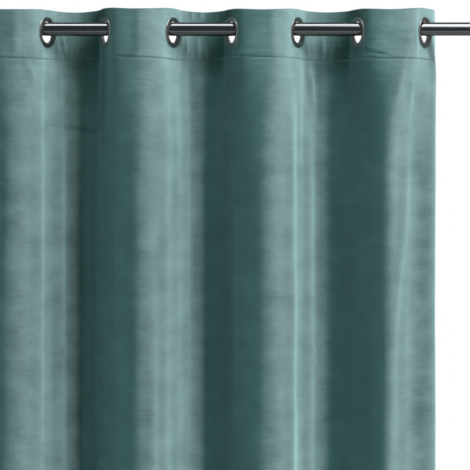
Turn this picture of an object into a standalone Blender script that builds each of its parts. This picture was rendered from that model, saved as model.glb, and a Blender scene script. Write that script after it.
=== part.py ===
"""Velvet eyelet curtain hanging in uneven folds from a plain round rod.

The rod lies along X and the origin is the middle of its axis. The viewer stands at -Y, Z is up.
The cloth is threaded on the rod: it passes through the rod's line at each eyelet and folds
forwards and backwards in between. Its path across is worked out at each height from the places
and turns of those crossings and from the length of cloth between them, which stays the same.
"""
import math
from collections import namedtuple

import bmesh
import bpy
from mathutils import Matrix, Vector

# Rod
ROD_DIAMETER = 0.025
ROD_LENGTH = 1.200
ROD_CHAMFER = 0.0015
ROD_SIDES = 32

# Cloth
PANEL_THICKNESS = 0.0020
DOUBLED_THICKNESS = 0.0030
SIDE_HEM_WIDTH = 0.025
FOOT_HEM_DEPTH = 0.080
HEM_STEP = 0.002
SEAM_HEIGHT = -0.054
SEAM_SAG = 0.002
FOOT_HEIGHT = -2.563
GAP = 0.0003

# Eyelets
EYELET_DIAMETER = 0.0556
EYELET_THROAT = 0.0384
BARREL_WALL = 0.0010
FLANGE_RISE = 0.0020
WASHER_DIAMETER = 0.0540
WASHER_THICKNESS = 0.0012
ROLLED_LIP = 0.0012
EYELET_SIDES = 24
# A ring that hangs at a slant rests on the rod at two places beside its top, so it hangs this
# much higher than a square one would.
SLANT_LIFT = 0.0009
EYELET_DROP = (EYELET_THROAT - ROD_DIAMETER) / 2 - SLANT_LIFT

SHARP_ANGLE = math.radians(35)

# The cloth's path
EYELET_FLAT = 0.029        # straight cloth on each side of an eyelet's middle, in the heading
FREE_FLAT = 0.006          # the same far below, where the cloth hangs freely
SETTLE_DEPTH = 0.30        # height below the seam over which the folds take their free shape
SIDE_LENGTH = 0.070        # cloth from the outer eyelets to the side edges
SIDE_REACH = 0.0234        # how far the side edges stand out beyond the outer eyelets
FREE_SIDE_REACH = 0.0205   # the same far below
FOLD_STEPS = 10            # columns of the curved stretch of one fold
SIDE_STEPS = 3
CURVE_SAMPLES = 24
FREE_HANDLE = 0.44         # how far a free flank keeps the turn of its crossing, as a share
DEPTH_RANGE = (0.002, 0.120)
HALVINGS = 30

# One row for each crossing, left to right: place along the rod, turn of the cloth away from the
# rod's direction in degrees, heights of the top edge and of the seam, then how far the crossing
# moves sideways and towards the viewer and what its turn becomes where the cloth hangs freely,
# and the same sideways move and turn at the foot.
Crossing = namedtuple(
    "Crossing", "x turn top seam free_shift free_forward free_turn foot_shift foot_turn")
CROSSINGS = (
    Crossing(-0.4045, 62, 0.0370, -0.051, 0.000, 0.004, 46, 0.004, 48),
    Crossing(-0.2835, 60, 0.0352, -0.055, 0.000, 0.000, 50, 0.006, 52),
    Crossing(-0.1752, 66, 0.0386, -0.049, -0.002, 0.010, 44, -0.001, 46),
    Crossing(-0.0541, 61, 0.0380, -0.055, 0.003, 0.010, 56, 0.003, 57),
    Crossing(0.0541, 63, 0.0368, -0.050, -0.002, 0.010, 42, 0.001, 44),
    Crossing(0.1724, 61, 0.0367, -0.053, 0.002, 0.002, 56, 0.003, 56),
    Crossing(0.2835, 64, 0.0366, -0.054, 0.000, 0.000, 38, 0.000, 42),
    Crossing(0.4036, 62, 0.0386, -0.054, 0.001, -0.006, 10, -0.003, 24),
)

# One row for each fold between two crossings: its length of cloth, how far its top edge sags
# between the eyelets, then how far each flank keeps the turn of its crossing, where the crest lies
# between the crossings and how round the cloth is to the crest's left and right, all as shares, in
# the heading, and the same last three where the cloth hangs freely.
Fold = namedtuple("Fold", "cloth sag handle crest left right free_crest free_left free_right")
FOLDS = (
    Fold(0.166, 0.0035, 0.36, 0.50, 0.30, 0.40, 0.48, 0.20, 0.42),
    Fold(0.150, 0.0030, 0.20, 0.54, 0.30, 0.25, 0.54, 0.24, 0.20),
    Fold(0.172, 0.0045, 0.38, 0.57, 0.28, 0.30, 0.51, 0.20, 0.32),
    Fold(0.150, 0.0030, 0.20, 0.54, 0.30, 0.25, 0.52, 0.26, 0.22),
    Fold(0.168, 0.0045, 0.38, 0.58, 0.24, 0.40, 0.50, 0.20, 0.42),
    Fold(0.151, 0.0025, 0.20, 0.50, 0.30, 0.25, 0.50, 0.26, 0.26),
    Fold(0.165, 0.0045, 0.38, 0.50, 0.28, 0.34, 0.43, 0.30, 0.24),
)

# One row for each crease that runs down the cloth: the crossing it lies beside, its distance
# along the cloth from there, its rise towards the viewer (or fall, below zero), its half width,
# and the heights where it begins and ends.
Crease = namedtuple("Crease", "beside along rise reach begins ends")
CREASES = (
    Crease(0, 0.060, 0.0030, 0.022, -0.30, -2.20),
    Crease(1, -0.028, 0.0035, 0.014, -0.08, -2.10),
    Crease(1, 0.030, 0.0045, 0.014, -0.12, -2.10),
    Crease(3, -0.030, 0.0025, 0.014, -0.06, -1.90),
    Crease(3, 0.008, 0.0015, 0.012, -0.06, -1.90),
    Crease(5, -0.026, 0.0045, 0.014, -0.06, -1.70),
    Crease(5, 0.030, 0.0045, 0.014, -0.10, -2.00),
    Crease(7, -0.046, 0.0025, 0.016, -0.08, -2.00),
)
CREASE_FADE = 0.16

# Rows of the panel, as depths below the seam
PANEL_DEPTHS = (0.04, 0.09, 0.16, 0.25, 0.38, 0.55, 0.80, 1.10, 1.45, 1.80, 2.15)
HEADING_ROWS = 4


def clear_scene():
    for thing in list(bpy.data.objects):
        bpy.data.objects.remove(thing, do_unlink=True)


def make_material(name, colour, roughness, metallic):
    material = bpy.data.materials.new(name)
    material.use_nodes = True
    shader = material.node_tree.nodes["Principled BSDF"]
    shader.inputs["Base Color"].default_value = (*colour, 1.0)
    shader.inputs["Roughness"].default_value = roughness
    shader.inputs["Metallic"].default_value = metallic
    material.diffuse_color = (*colour, 1.0)
    return material


def dress(mesh, material):
    """Gives a mesh its material and smooth shading that breaks at its real edges."""
    mesh.materials.append(material)
    mesh.shade_smooth()
    mesh.set_sharp_from_angle(angle=SHARP_ANGLE)
    return mesh


def add_object(name, mesh):
    thing = bpy.data.objects.new(name, mesh)
    bpy.context.scene.collection.objects.link(thing)
    return thing


def ease(share):
    """Smooth rise from 0 to 1."""
    share = min(max(share, 0.0), 1.0)
    return share * share * (3 - 2 * share)


def free_share(height):
    """0 in the heading, 1 where the folds hang in their free shape."""
    left_over = 1 - min(max((SEAM_HEIGHT - height) / SETTLE_DEPTH, 0.0), 1.0)
    return 1 - left_over**2


def foot_share(height):
    """0 down to the free stretch, 1 at the foot of the cloth."""
    free_height = SEAM_HEIGHT - SETTLE_DEPTH
    return ease((free_height - height) / (free_height - FOOT_HEIGHT))


def blend(first, second, share):
    return first + (second - first) * share


def crossing_at(index, height):
    """Plan point and direction of the cloth, left to right, where it crosses the rod's line."""
    row = CROSSINGS[index]
    free, foot = free_share(height), foot_share(height)
    shift = blend(blend(0.0, row.free_shift, free), row.foot_shift, foot)
    turn = math.radians(blend(blend(row.turn, row.free_turn, free), row.foot_turn, foot))
    forwards = -1 if index % 2 == 0 else 1
    place = Vector((row.x + shift, -row.free_forward * free))
    return place, Vector((math.cos(turn), forwards * math.sin(turn)))


def flat_at(height):
    return blend(EYELET_FLAT, FREE_FLAT, free_share(height))


def curve_points(start, start_way, end, end_way, first_handle, second_handle):
    """Points of a cubic Bezier curve between two plan points."""
    first = start + start_way * first_handle
    second = end - end_way * second_handle
    points = []
    for step in range(CURVE_SAMPLES + 1):
        t = step / CURVE_SAMPLES
        s = 1 - t
        points.append(s**3 * start + 3 * s * s * t * first + 3 * s * t * t * second + t**3 * end)
    return points


def length_of(points):
    return sum((b - a).length for a, b in zip(points, points[1:]))


def fold_points(index, height):
    """Plan points of one fold, whose crest stands out as far as its length of cloth lets it."""
    fold = FOLDS[index]
    free = free_share(height)
    start, start_way = crossing_at(index, height)
    end, end_way = crossing_at(index + 1, height)
    flat = flat_at(height)
    first, last = start + start_way * flat, end - end_way * flat
    crest_x = blend(start.x, end.x, blend(fold.crest, fold.free_crest, free))
    left_round = (crest_x - first.x) * blend(fold.left, fold.free_left, free)
    right_round = (last.x - crest_x) * blend(fold.right, fold.free_right, free)
    handle = blend(fold.handle, FREE_HANDLE, free)
    forwards = -1 if index % 2 == 0 else 1
    level = Vector((1.0, 0.0))
    low, high = DEPTH_RANGE
    for _ in range(HALVINGS):
        depth = (low + high) / 2
        crest = Vector((crest_x, forwards * depth))
        left = curve_points(first, start_way, crest, level,
                            handle * (crest - first).length, left_round)
        right = curve_points(crest, level, last, end_way,
                             right_round, handle * (last - crest).length)
        points = [start] + left + right[1:] + [end]
        if length_of(points) < fold.cloth:
            low = depth
        else:
            high = depth
    return points


def side_points(index, height, outwards):
    """Plan points from an outer crossing to its side edge: straight, bending back, then straight."""
    start, way = crossing_at(index, height)
    flat = flat_at(height)
    reach = blend(SIDE_REACH, FREE_SIDE_REACH, free_share(height))
    turn_left = math.pi / 2 - math.acos(way.x)
    bend = (reach - flat * way.x) * turn_left / (1 - abs(way.y))
    points = [start, start + Vector((outwards * way.x, abs(way.y))) * flat]
    for count in range(CURVE_SAMPLES):
        angle = math.pi / 2 - turn_left * (1 - (count + 0.5) / CURVE_SAMPLES)
        way = Vector((outwards * math.cos(angle), math.sin(angle)))
        points.append(points[-1] + way * bend / CURVE_SAMPLES)
    points.append(points[-1] + Vector((0.0, SIDE_LENGTH - flat - bend)))
    return points


def section_at(height):
    """The cloth's whole path at one height, as pairs of distance along the cloth and plan point."""
    points = side_points(0, height, -1)[::-1]
    for index in range(len(FOLDS)):
        points += fold_points(index, height)[1:]
    points += side_points(len(FOLDS), height, 1)[1:]
    pairs = []
    along = 0.0
    for before, point in zip([points[0]] + points, points):
        along += (point - before).length
        pairs.append((along, point))
    return pairs


def eyelet_distances():
    """Distance of each crossing along the cloth from its left edge."""
    distances = [SIDE_LENGTH]
    for fold in FOLDS:
        distances.append(distances[-1] + fold.cloth)
    return distances


def column_distances():
    """Distances along the cloth of the mesh's columns: closer together where it curves."""
    eyelets = eyelet_distances()
    width = eyelets[-1] + SIDE_LENGTH
    columns = [0.0, SIDE_HEM_WIDTH - HEM_STEP, SIDE_HEM_WIDTH]
    columns.append(SIDE_LENGTH - EYELET_FLAT)
    for eyelet, fold in zip(eyelets, FOLDS):
        curved = fold.cloth - 2 * EYELET_FLAT
        columns.append(eyelet)
        columns += [eyelet + EYELET_FLAT + curved * step / FOLD_STEPS
                    for step in range(FOLD_STEPS + 1)]
    columns.append(eyelets[-1])
    columns += [width - distance for distance in reversed(columns[:SIDE_STEPS + 1])]
    return columns


def on_section(section, along):
    """Plan point and sideways direction on a section, at a distance along the cloth."""
    for (before, first), (after, second) in zip(section, section[1:]):
        if after >= along and after > before:
            return first.lerp(second, (along - before) / (after - before)), (second - first).normalized()
    (before, first), (after, second) = section[-2:]
    return second, (second - first).normalized()


def crease_rise(along, height):
    """Sum of the creases at a place on the cloth."""
    eyelets = eyelet_distances()
    rise = 0.0
    for crease in CREASES:
        offset = (along - eyelets[crease.beside] - crease.along) / crease.reach
        strength = ease((crease.begins - height) / CREASE_FADE)
        strength *= ease((height - crease.ends) / CREASE_FADE)
        rise += crease.rise * strength * math.exp(-offset * offset)
    return rise


def cloth_point(section, along, height):
    """Point on the middle of the cloth."""
    point, way = on_section(section, along)
    front = Vector((way.y, -way.x))
    point = point + front * crease_rise(along, height)
    return Vector((point.x, point.y, height))


def edge_height(along, heights, sags):
    """Height of an edge that is given at the eyelets and sags in between."""
    eyelets = eyelet_distances()
    if along <= eyelets[0]:
        return heights[0]
    for index, fold in enumerate(FOLDS):
        if along <= eyelets[index + 1]:
            share = (along - eyelets[index]) / fold.cloth
            level = blend(heights[index], heights[index + 1], share)
            return level - sags[index] * math.sin(math.pi * share) ** 2
    return heights[-1]


def top_height(along):
    return edge_height(along, [row.top for row in CROSSINGS], [fold.sag for fold in FOLDS])


def seam_height(along):
    return edge_height(along, [row.seam for row in CROSSINGS], [SEAM_SAG] * len(FOLDS))


def grid_mesh(name, rows):
    """Mesh of a sheet from rows of points, top row first. Its faces look to the front."""
    mesh = bpy.data.meshes.new(name)
    bm = bmesh.new()
    vertices = [[bm.verts.new(point) for point in row] for row in rows]
    for upper, lower in zip(vertices, vertices[1:]):
        for column in range(len(upper) - 1):
            bm.faces.new((upper[column], lower[column], lower[column + 1], upper[column + 1]))
    bm.to_mesh(mesh)
    bm.free()
    return mesh


def thicken(sheet, thickness, single_share=None):
    """Gives a sheet its thickness, half on each side. A sheet with hems has a vertex group."""
    solidify = sheet.modifiers.new("Thickness", "SOLIDIFY")
    solidify.thickness = thickness
    solidify.offset = 0.0
    solidify.use_even_offset = True
    if single_share is not None:
        solidify.vertex_group = "hems"
        solidify.thickness_vertex_group = single_share


def make_panel(material):
    """The curtain's one width of cloth below the seam, with doubled hems at its sides and foot."""
    columns = column_distances()
    width = columns[-1]
    hem_top = FOOT_HEIGHT + FOOT_HEM_DEPTH
    heights = [SEAM_HEIGHT - GAP / 2]
    heights += [SEAM_HEIGHT - depth for depth in PANEL_DEPTHS]
    heights += [hem_top + HEM_STEP, hem_top, FOOT_HEIGHT]
    rows = []
    for height in heights:
        section = section_at(height)
        rows.append([cloth_point(section, along, height) for along in columns])
    for point, along in zip(rows[0], columns):
        point.z = seam_height(along) - GAP / 2
    panel = add_object("curtain_panel", dress(grid_mesh("curtain_panel", rows), material))
    hems = panel.vertex_groups.new(name="hems")
    for row, height in enumerate(heights):
        for column, along in enumerate(columns):
            inset = min(along, width - along)
            if height <= hem_top or inset < SIDE_HEM_WIDTH:
                hems.add([row * len(columns) + column], 1.0, "REPLACE")
    thicken(panel, DOUBLED_THICKNESS, PANEL_THICKNESS / DOUBLED_THICKNESS)
    return panel


def eyelet_frame(index):
    """Matrix of an eyelet: its axis is the cloth's own direction through the rod, local Z."""
    point, way = crossing_at(index, 0.0)
    across = Vector((way.x, way.y, 0.0))
    up = Vector((0.0, 0.0, 1.0))
    front = Vector((way.y, -way.x, 0.0))
    turned = Matrix((across, up, front)).transposed().to_4x4()
    return Matrix.Translation((point.x, point.y, -EYELET_DROP)) @ turned


def make_hole_cutter(index):
    """Round cutter for the hole that an eyelet's barrel goes through."""
    mesh = bpy.data.meshes.new(f"hole_cutter_{index + 1}")
    radius = EYELET_THROAT / 2 + BARREL_WALL + GAP
    bm = bmesh.new()
    bmesh.ops.create_cone(bm, cap_ends=True, segments=EYELET_SIDES, radius1=radius,
                          radius2=radius, depth=6 * DOUBLED_THICKNESS)
    bm.to_mesh(mesh)
    bm.free()
    cutter = add_object(f"hole_cutter_{index + 1}", mesh)
    cutter.matrix_world = eyelet_frame(index)
    cutter.hide_render = True
    cutter.display_type = "WIRE"
    return cutter


def make_heading(material):
    """The doubled band along the top, with a hole for each eyelet."""
    columns = column_distances()
    section = section_at(SEAM_HEIGHT)
    rows = []
    for row in range(HEADING_ROWS + 1):
        share = row / HEADING_ROWS
        points = []
        for along in columns:
            plan, _ = on_section(section, along)
            height = blend(top_height(along), seam_height(along) + GAP / 2, share)
            points.append(Vector((plan.x, plan.y, height)))
        rows.append(points)
    heading = add_object("heading", dress(grid_mesh("heading", rows), material))
    thicken(heading, DOUBLED_THICKNESS)
    for index in range(len(CROSSINGS)):
        hole = heading.modifiers.new(f"Hole {index + 1}", "BOOLEAN")
        hole.operation = "DIFFERENCE"
        hole.solver = "EXACT"
        hole.object = make_hole_cutter(index)
    return heading


def turned_mesh(name, profile):
    """Ring turned about its local Z from a closed profile of radius and height, seen anticlockwise."""
    mesh = bpy.data.meshes.new(name)
    bm = bmesh.new()
    rings = []
    for side in range(EYELET_SIDES):
        angle = 2 * math.pi * side / EYELET_SIDES
        rings.append([bm.verts.new((radius * math.cos(angle), radius * math.sin(angle), height))
                      for radius, height in profile])
    for side, ring in enumerate(rings):
        following = rings[(side + 1) % EYELET_SIDES]
        for corner in range(len(profile)):
            after = (corner + 1) % len(profile)
            bm.faces.new((ring[corner], following[corner], following[after], ring[after]))
    bmesh.ops.recalc_face_normals(bm, faces=bm.faces)
    bm.to_mesh(mesh)
    bm.free()
    return mesh


def make_eyelets(material):
    """A front ring with its barrel, and the washer that the barrel is rolled over behind."""
    throat = EYELET_THROAT / 2
    barrel = throat + BARREL_WALL
    rim = EYELET_DIAMETER / 2
    cloth = DOUBLED_THICKNESS / 2 + GAP
    crest = cloth + FLANGE_RISE
    washer_back = cloth + WASHER_THICKNESS
    lip_front = washer_back + GAP
    lip_back = lip_front + BARREL_WALL / 2
    front_profile = (
        (throat, ROLLED_LIP - lip_back),
        (throat, crest - 1.4 * BARREL_WALL),
        (barrel - 0.2 * BARREL_WALL, crest - 0.3 * BARREL_WALL),
        (barrel + 2 * BARREL_WALL, crest),
        (rim - 1.4 * BARREL_WALL, crest - 0.3 * BARREL_WALL),
        (rim, crest - BARREL_WALL),
        (rim, cloth),
        (barrel, cloth),
        (barrel, -lip_front),
        (barrel + ROLLED_LIP, -lip_front),
        (barrel + ROLLED_LIP, -lip_back),
        (barrel - 0.5 * BARREL_WALL, -lip_back),
    )
    washer_rim = WASHER_DIAMETER / 2
    washer_profile = (
        (barrel + GAP, -washer_back),
        (washer_rim - BARREL_WALL, -washer_back),
        (washer_rim, -cloth - WASHER_THICKNESS / 2),
        (washer_rim, -cloth),
        (barrel + GAP, -cloth),
    )
    front_mesh = dress(turned_mesh("eyelet_front", front_profile), material)
    washer_mesh = dress(turned_mesh("eyelet_washer", washer_profile), material)
    for index in range(len(CROSSINGS)):
        for name, mesh in (("eyelet_front", front_mesh), ("eyelet_washer", washer_mesh)):
            ring = add_object(f"{name}_{index + 1}", mesh)
            ring.matrix_world = eyelet_frame(index)


def make_rod(material):
    """A plain round rod with a small chamfer at each end."""
    mesh = bpy.data.meshes.new("rod")
    bm = bmesh.new()
    bmesh.ops.create_cone(bm, cap_ends=True, segments=ROD_SIDES, radius1=ROD_DIAMETER / 2,
                          radius2=ROD_DIAMETER / 2, depth=ROD_LENGTH)
    ends = [edge for edge in bm.edges
            if abs(edge.verts[0].co.z - edge.verts[1].co.z) < ROD_CHAMFER]
    bmesh.ops.bevel(bm, geom=ends, offset=ROD_CHAMFER, segments=1, affect="EDGES")
    bm.to_mesh(mesh)
    bm.free()
    rod = add_object("rod", dress(mesh, material))
    rod.rotation_euler = (0.0, math.radians(90), 0.0)
    return rod


def main():
    clear_scene()
    velvet = make_material("Teal velvet", (0.075, 0.165, 0.155), 0.85, 0.0)
    nickel = make_material("Nickel plate", (0.36, 0.36, 0.35), 0.25, 1.0)
    black_nickel = make_material("Polished black nickel", (0.09, 0.10, 0.11), 0.18, 1.0)
    make_rod(black_nickel)
    make_heading(velvet)
    make_panel(velvet)
    make_eyelets(nickel)


if __name__ == "__main__":
    main()
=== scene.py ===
"""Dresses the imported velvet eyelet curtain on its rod, and stands a plain studio round it.

The cloth keeps the folds of its solids: its path across the rod is worked out at each height from
the same tables of crossings, folds and creases, on a finer mesh. Over those folds lie the pleats,
puckers and soft creases that the sewing and the packing left in the velvet.
"""

import math
from collections import namedtuple

import bpy
import numpy as np
from bpy.props import FloatProperty, FloatVectorProperty, IntProperty, PointerProperty
from mathutils import Matrix, Vector, noise


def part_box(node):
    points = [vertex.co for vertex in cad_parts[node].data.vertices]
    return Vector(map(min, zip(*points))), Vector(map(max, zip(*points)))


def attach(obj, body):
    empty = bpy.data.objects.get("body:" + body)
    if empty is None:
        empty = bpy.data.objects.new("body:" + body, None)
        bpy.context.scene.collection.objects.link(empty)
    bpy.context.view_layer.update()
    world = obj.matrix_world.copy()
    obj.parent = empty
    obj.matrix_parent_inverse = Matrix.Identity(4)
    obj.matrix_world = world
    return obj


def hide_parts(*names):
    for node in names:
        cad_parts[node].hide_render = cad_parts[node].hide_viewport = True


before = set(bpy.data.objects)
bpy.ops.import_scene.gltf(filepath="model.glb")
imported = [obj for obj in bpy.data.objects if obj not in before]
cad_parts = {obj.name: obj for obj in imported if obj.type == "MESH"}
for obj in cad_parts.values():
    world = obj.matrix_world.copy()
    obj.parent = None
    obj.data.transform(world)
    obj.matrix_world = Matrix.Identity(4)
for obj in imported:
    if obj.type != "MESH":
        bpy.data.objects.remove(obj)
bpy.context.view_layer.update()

bl_info = {
    "name": "Velvet Eyelet Curtain",
    "version": (1, 0, 0),
    "blender": (4, 5, 0),
    "location": "3D View > Sidebar > Curtain",
    "description": "Velvet, thread, eyelets and rod for an eyelet curtain, with a studio round it",
    "category": "Object",
}

# Rod, from the frame
ROD_LOW, ROD_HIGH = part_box("rod")
ROD_DIAMETER = ROD_HIGH.z - ROD_LOW.z
ROD_LENGTH = ROD_HIGH.x - ROD_LOW.x
ROD_END_ROUNDING = 0.0015

# Cloth
PANEL_THICKNESS = 0.0020
DOUBLED_THICKNESS = 0.0030
SIDE_HEM_WIDTH = 0.025
FOOT_HEM_DEPTH = 0.080
SEAM_HEIGHT = -0.054
SEAM_SAG = 0.002
SEAM_FADE = 0.05           # depth below the seam over which its slants and sags even out
FOOT_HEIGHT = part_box("curtain_panel")[0].z
GAP = 0.0003               # kept clear between pieces that touch
CUT_EDGE_ROUNDING = 0.3    # share of the cloth's thickness that its cut edges are rounded by

# Eyelets
EYELET_DIAMETER = 0.0556
EYELET_THROAT = 0.0384
BARREL_WALL = 0.0010
FLANGE_RISE = 0.0020
WASHER_DIAMETER = 0.0540
WASHER_THICKNESS = 0.0012
ROLLED_LIP = 0.0012
BARREL_FLARE = 0.0014
SLANT_LIFT = 0.0009        # a ring that slants across the rod hangs this much higher
RIM_ROUNDING = 0.45 * FLANGE_RISE
RIM_TURN = 70              # degrees that the rim's rounding turns before the dome begins
DOME_INSET = 0.7           # where the dome begins, in from the rim, as a share of its rounding
FOOT_INSET = 0.4           # where the flange's flat back ends, the same way
LIP_DROP = 0.2             # share of the rolled lip that its centre lies in front of its back line
LIP_TAIL = 0.4             # share of it that its outer edge stands out behind that line
THROAT_ROLL = 1.4 * FLANGE_RISE
DOME_FALL = 0.18 * FLANGE_RISE
WASHER_ROUNDING = 0.7 * WASHER_THICKNESS
HOLE_RADIUS = EYELET_THROAT / 2 + BARREL_FLARE + BARREL_WALL + GAP
HOLE_SIDES = 64
PUNCH_DEPTH = 6 * DOUBLED_THICKNESS     # enough where the cloth bends beside an eyelet
EYELET_DROP = (EYELET_THROAT - ROD_DIAMETER) / 2 - SLANT_LIFT

# Angles from which an edge is rounded, and from which it stays sharp on smooth metal
ROUNDED_ANGLE = math.radians(60)
SHARP_ANGLE = math.radians(40)

# The cloth's path
EYELET_FLAT = 0.029        # straight cloth on each side of an eyelet's middle, in the heading
FREE_FLAT = 0.006          # the same far below, where the cloth hangs freely
SETTLE_DEPTH = 0.30        # depth below the seam over which the folds take their free shape
SIDE_LENGTH = 0.070        # cloth from the outer eyelets to the side edges
SIDE_REACH = 0.0234        # how far the side edges stand out beyond the outer eyelets
FREE_SIDE_REACH = 0.0205   # the same far below
CURVE_SAMPLES = 60
FREE_HANDLE = 0.44         # how far a free flank keeps the turn of its crossing, as a share
DEPTH_RANGE = (0.002, 0.120)    # how far a fold's crest may stand out from the rod's line
HALVINGS = 30              # steps of the search for that distance

# One row for each crossing, left to right: place along the rod, turn of the cloth away from the
# rod's direction in degrees, heights of the top edge and of the seam, then how far the crossing
# moves sideways and towards the viewer and what its turn becomes where the cloth hangs freely,
# and the same sideways move and turn at the foot.
Crossing = namedtuple(
    "Crossing", "x turn top seam free_shift free_forward free_turn foot_shift foot_turn")
CROSSINGS = (
    Crossing(-0.4045, 62, 0.0370, -0.051, 0.000, 0.004, 46, 0.004, 48),
    Crossing(-0.2835, 60, 0.0352, -0.055, 0.000, 0.000, 50, 0.006, 52),
    Crossing(-0.1752, 66, 0.0386, -0.049, -0.002, 0.010, 44, -0.001, 46),
    Crossing(-0.0541, 61, 0.0380, -0.055, 0.003, 0.010, 56, 0.003, 57),
    Crossing(0.0541, 63, 0.0368, -0.050, -0.002, 0.010, 42, 0.001, 44),
    Crossing(0.1724, 61, 0.0367, -0.053, 0.002, 0.002, 56, 0.003, 56),
    Crossing(0.2835, 64, 0.0366, -0.054, 0.000, 0.000, 38, 0.000, 42),
    Crossing(0.4036, 62, 0.0386, -0.054, 0.001, -0.006, 10, -0.003, 24),
)

# One row for each fold between two crossings: its length of cloth, how far its top edge sags
# between the eyelets, then how far each flank keeps the turn of its crossing, where the crest lies
# between the crossings and how round the cloth is to the crest's left and right, all as shares, in
# the heading, and the same last three where the cloth hangs freely.
Fold = namedtuple("Fold", "cloth sag handle crest left right free_crest free_left free_right")
FOLDS = (
    Fold(0.166, 0.0035, 0.36, 0.50, 0.30, 0.40, 0.48, 0.20, 0.42),
    Fold(0.150, 0.0030, 0.20, 0.54, 0.30, 0.25, 0.54, 0.24, 0.20),
    Fold(0.172, 0.0045, 0.38, 0.57, 0.28, 0.30, 0.51, 0.20, 0.32),
    Fold(0.150, 0.0030, 0.20, 0.54, 0.30, 0.25, 0.52, 0.26, 0.22),
    Fold(0.168, 0.0045, 0.38, 0.58, 0.24, 0.40, 0.50, 0.20, 0.42),
    Fold(0.151, 0.0025, 0.20, 0.50, 0.30, 0.25, 0.50, 0.26, 0.26),
    Fold(0.165, 0.0045, 0.38, 0.50, 0.28, 0.34, 0.43, 0.30, 0.24),
)

# One row for each crease that runs down the cloth: the crossing it lies beside, its distance
# along the cloth from there, its rise towards the viewer (or fall, below zero), its half width,
# and the heights where it begins and ends.
Crease = namedtuple("Crease", "beside along rise reach begins ends")
CREASES = (
    Crease(0, 0.060, 0.0030, 0.022, -0.30, -2.20),
    Crease(1, -0.028, 0.0035, 0.014, -0.08, -2.10),
    Crease(1, 0.030, 0.0045, 0.014, -0.12, -2.10),
    Crease(3, -0.030, 0.0025, 0.014, -0.06, -1.90),
    Crease(3, 0.008, 0.0015, 0.012, -0.06, -1.90),
    Crease(5, -0.026, 0.0045, 0.014, -0.06, -1.70),
    Crease(5, 0.030, 0.0045, 0.014, -0.10, -2.00),
    Crease(7, -0.046, 0.0025, 0.016, -0.08, -2.00),
)
CREASE_FADE = 0.16         # height over which a crease rises from nothing at each of its ends

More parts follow.
